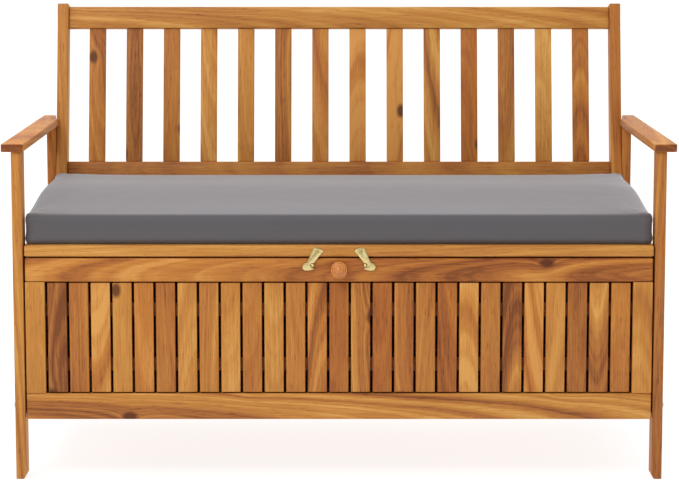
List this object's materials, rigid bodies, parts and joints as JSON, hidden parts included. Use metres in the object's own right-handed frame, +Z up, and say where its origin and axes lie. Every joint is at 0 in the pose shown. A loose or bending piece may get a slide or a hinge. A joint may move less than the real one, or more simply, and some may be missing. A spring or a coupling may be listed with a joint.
{
  "type": "garden storage bench",
  "caption": "Slatted hardwood garden bench with arms, leaning back and loose cushion over a storage box with a drop-front door held by swinging hooks.",
  "frame": {"origin": "on the ground in the middle of the bench's outer box", "axes": "+X along the bench, -Y is the front, +Z up"},
  "size_m": [1.2, 0.6451, 0.8359],
  "materials": {
    "acacia": "oiled acacia, planed and sanded, strong board to board variation",
    "knob_wood": "turned and varnished hardwood",
    "cushion_fabric": "plain woven grey polyester",
    "hook_brass": "pale stamped brass",
    "zinc_steel": "zinc plated steel"
  },
  "bodies": {
    "bench": {"armrest_left": "acacia", "armrest_right": "acacia", "back_bottom_rail": "acacia", "back_post_left": "acacia", "back_post_right": "acacia", "back_slat_01": "acacia", "back_slat_02": "acacia", "back_slat_03": "acacia", "back_slat_04": "acacia", "back_slat_05": "acacia", "back_slat_06": "acacia", "back_slat_07": "acacia", "back_slat_08": "acacia", "back_slat_09": "acacia", "back_slat_10": "acacia", "back_slat_11": "acacia", "back_slat_12": "acacia", "back_slat_13": "acacia", "back_slat_14": "acacia", "back_top_rail": "acacia", "box_back_bottom_rail": "acacia", "box_back_slats": "acacia", "box_back_top_rail": "acacia", "floor_boards": "acacia", "floor_front_rail": "acacia", "front_leg_left": "acacia", "front_leg_right": "acacia", "hinge_frame_leaf_left": "zinc_steel", "hinge_frame_leaf_right": "zinc_steel", "hook_screw_left": "hook_brass", "hook_screw_right": "hook_brass", "leg_bolt_left": "zinc_steel", "leg_bolt_right": "zinc_steel", "rear_leg_left": "acacia", "rear_leg_right": "acacia", "seat_bearer_left": "acacia", "seat_bearer_right": "acacia", "seat_front_board": "acacia", "seat_rear_board": "acacia", "seat_slats": "acacia", "side_bottom_rail_left": "acacia", "side_bottom_rail_right": "acacia", "side_slats_left": "acacia", "side_slats_right": "acacia", "side_top_rail_left": "acacia", "side_top_rail_right": "acacia"},
    "door": {"door_bottom_rail": "acacia", "door_slats": "acacia", "door_stile_left": "acacia", "door_stile_right": "acacia", "door_top_rail": "acacia", "hinge_door_leaf_left": "zinc_steel", "hinge_door_leaf_right": "zinc_steel", "knob": "knob_wood", "peg_left": "hook_brass", "peg_right": "hook_brass"},
    "left_hook": {"hook_left": "hook_brass"},
    "right_hook": {"hook_right": "hook_brass"},
    "cushion": {"cushion": "cushion_fabric"}
  },
  "joints": [
    {"name": "door_hinge", "type": "hinge", "parent": "bench", "child": "door", "pos_m": [0, -0.2743, 0.1129], "axis": [1, 0, 0], "range_deg": [0, 100]},
    {"name": "left_hook_pivot", "type": "hinge", "parent": "bench", "child": "left_hook", "pos_m": [-0.039, -0.2975, 0.4165], "axis": [0, 1, 0], "range_deg": [0, 90]},
    {"name": "right_hook_pivot", "type": "hinge", "parent": "bench", "child": "right_hook", "pos_m": [0.039, -0.2975, 0.4165], "axis": [0, -1, 0], "range_deg": [0, 90]},
    {"name": "cushion_lift", "type": "slide", "parent": "bench", "child": "cushion", "axis": [0, 0, 1], "range_m": [0, 0.42]}
  ]
}
